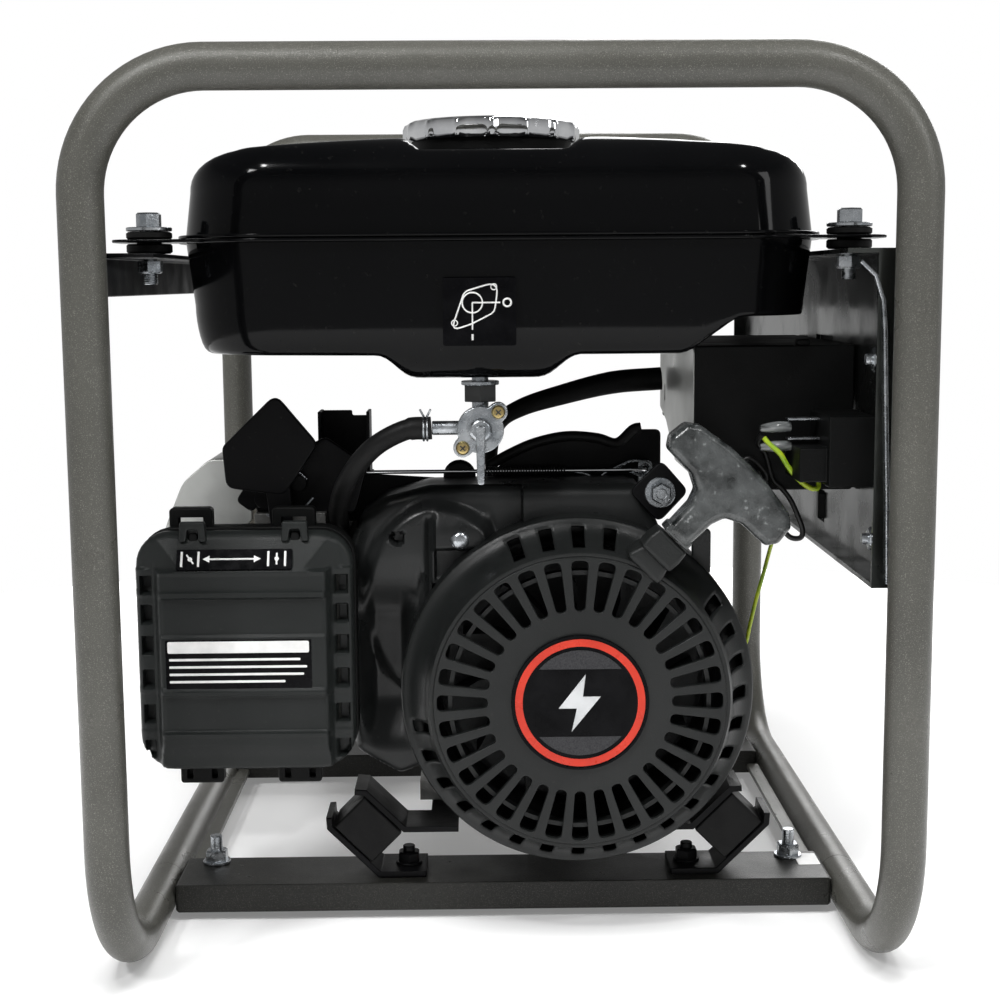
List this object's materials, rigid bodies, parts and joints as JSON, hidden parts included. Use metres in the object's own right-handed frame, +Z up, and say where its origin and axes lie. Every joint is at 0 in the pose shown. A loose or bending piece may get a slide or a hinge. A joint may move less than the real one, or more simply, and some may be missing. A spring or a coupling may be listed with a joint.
{
  "type": "portable generator",
  "caption": "Open tube frame petrol generator with a recoil start engine, top fuel tank, air cleaner, fuel valve, silencer, alternator and side control panel.",
  "frame": {"origin": "on the ground at the centre of the frame's footprint", "axes": "+Z up, -Y out of the recoil starter end, +X out of the control panel, +Y along the crankshaft to the alternator end"},
  "size_m": [0.36, 0.434, 0.405],
  "materials": {
    "cast_aluminium": "as cast",
    "black_enamel": "gloss black paint",
    "black_steel": "satin black paint",
    "chrome": "polished",
    "winding_steel": "copper windings on laminated steel",
    "dark_plastic": "satin moulded",
    "foam": "open cell",
    "frame_paint": "bronze grey metallic paint, satin",
    "charcoal_plastic": "satin moulded",
    "rubber": "matt",
    "steel": "galvanised",
    "zinc_plate": "zinc plated"
  },
  "bodies": {
    "frame": {"ac_socket": "dark_plastic", "air_cleaner_base": "dark_plastic", "air_filter": "foam", "alternator_end_bell": "cast_aluminium", "alternator_stator": "steel", "breaker_module": "dark_plastic", "carburettor": "zinc_plate", "control_box": "dark_plastic", "control_bracket": "black_steel", "control_panel": "steel", "crankcase": "cast_aluminium", "crankcase_cover": "cast_aluminium", "cylinder_head": "cast_aluminium", "fan_housing": "black_steel", "front_cross_rail": "frame_paint", "front_hoop": "frame_paint", "front_left_mount_arm": "black_steel", "front_left_mount_foot": "black_steel", "front_left_mount_rubber": "rubber", "front_right_mount_arm": "black_steel", "front_right_mount_foot": "black_steel", "front_right_mount_rubber": "rubber", "fuel_hose": "rubber", "fuel_valve": "zinc_plate", "left_tank_ledge": "black_steel", "muffler": "steel", "muffler_guard": "zinc_plate", "rear_cross_rail": "frame_paint", "rear_hoop": "frame_paint", "rear_mount_rubber": "rubber", "recoil_cover": "charcoal_plastic", "tank_bolt_front_left": "zinc_plate", "tank_bolt_front_right": "zinc_plate", "tank_bolt_rear_left": "zinc_plate", "tank_bolt_rear_right": "zinc_plate", "tank_bush_front_left": "rubber", "tank_bush_front_right": "rubber", "tank_bush_rear_left": "rubber", "tank_bush_rear_right": "rubber", "tank_lower_shell": "black_enamel", "tank_upper_shell": "black_enamel", "valve_cover": "black_steel", "wiring_harness": "rubber"},
    "cap_carrier": {"cap_gasket": "rubber"},
    "cap": {"fuel_cap": "chrome"},
    "valve_lever": {"fuel_valve_lever": "zinc_plate"},
    "starter_grip": {"pull_handle": "dark_plastic", "pull_rope": "foam"},
    "pulley": {"rope_pulley": "charcoal_plastic"},
    "shaft": {"crankshaft": "steel", "flywheel_fan": "cast_aluminium", "alternator_rotor": "winding_steel"},
    "choke": {"choke_lever": "dark_plastic"},
    "throttle": {"throttle_lever": "zinc_plate"},
    "governor": {"governor_arm": "zinc_plate"},
    "rod": {"governor_rod": "zinc_plate"},
    "air_cover": {"air_cleaner_cover": "charcoal_plastic"},
    "switch": {"engine_switch": "charcoal_plastic"},
    "breaker": {"breaker_button": "dark_plastic"},
    "oil_cap": {"oil_filler_cap": "dark_plastic"}
  },
  "joints": [
    {"name": "cap_lift", "type": "slide", "parent": "frame", "child": "cap_carrier", "axis": [0, 0, 1], "range_m": [0, 0.06]},
    {"name": "cap_turn", "type": "hinge", "parent": "cap_carrier", "child": "cap", "pos_m": [-0.003, -0.07, 0.38], "axis": [0, 0, 1], "range_deg": [0, 90]},
    {"name": "fuel_valve_turn", "type": "hinge", "parent": "frame", "child": "valve_lever", "pos_m": [-0.0095, -0.155, 0.2435], "axis": [0, -1, 0], "range_deg": [0, 90]},
    {"name": "starter_pull", "type": "slide", "parent": "frame", "child": "starter_grip", "axis": [0.2506, -0.9023, 0.3509], "range_m": [0, 0.4]},
    {"name": "pulley_turn", "type": "hinge", "parent": "frame", "child": "pulley", "pos_m": [0.035, -0.142, 0.118], "axis": [0, 1, 0], "range_deg": [0, 960]},
    {"name": "shaft_spin", "type": "hinge", "parent": "frame", "child": "shaft", "pos_m": [0.035, 0, 0.118], "axis": [0, 1, 0], "continuous": true},
    {"name": "choke_turn", "type": "hinge", "parent": "frame", "child": "choke", "pos_m": [-0.104, -0.108, 0.19], "axis": [0, 1, 0], "range_deg": [-25, 0]},
    {"name": "governor_turn", "type": "hinge", "parent": "frame", "child": "governor", "pos_m": [0.072, -0.07625, 0.1905], "axis": [0, 1, 0], "range_deg": [-8, 8]},
    {"name": "rod_slide", "type": "slide", "parent": "frame", "child": "rod", "axis": [1, 0, 0], "range_m": [-0.004, 0.004]},
    {"name": "throttle_turn", "type": "hinge", "parent": "frame", "child": "throttle", "pos_m": [-0.1045, -0.07625, 0.1965], "axis": [0, 1, 0], "range_deg": [-11, 11]},
    {"name": "air_cover_tilt", "type": "hinge", "parent": "frame", "child": "air_cover", "pos_m": [-0.1165, -0.1278, 0.081], "axis": [1, 0, 0], "range_deg": [0, 26]},
    {"name": "engine_switch_tip", "type": "hinge", "parent": "frame", "child": "switch", "pos_m": [0.164, -0.062, 0.196], "axis": [0, 0, 1], "range_deg": [0, 14]},
    {"name": "breaker_pop", "type": "slide", "parent": "frame", "child": "breaker", "axis": [1, 0, 0], "range_m": [0, 0.003]},
    {"name": "oil_cap_turn", "type": "hinge", "parent": "frame", "child": "oil_cap", "pos_m": [0.108, -0.03, 0.094], "axis": [0.7071, 0, 0.7071], "range_deg": [0, 360]}
  ],
  "couplings": [
    {"joint": "pulley_turn", "follows": "starter_pull", "rad_per_m": 41},
    {"joint": "rod_slide", "follows": "governor_turn", "m_per_rad": 0.026},
    {"joint": "throttle_turn", "follows": "governor_turn", "ratio": 1.3}
  ]
}
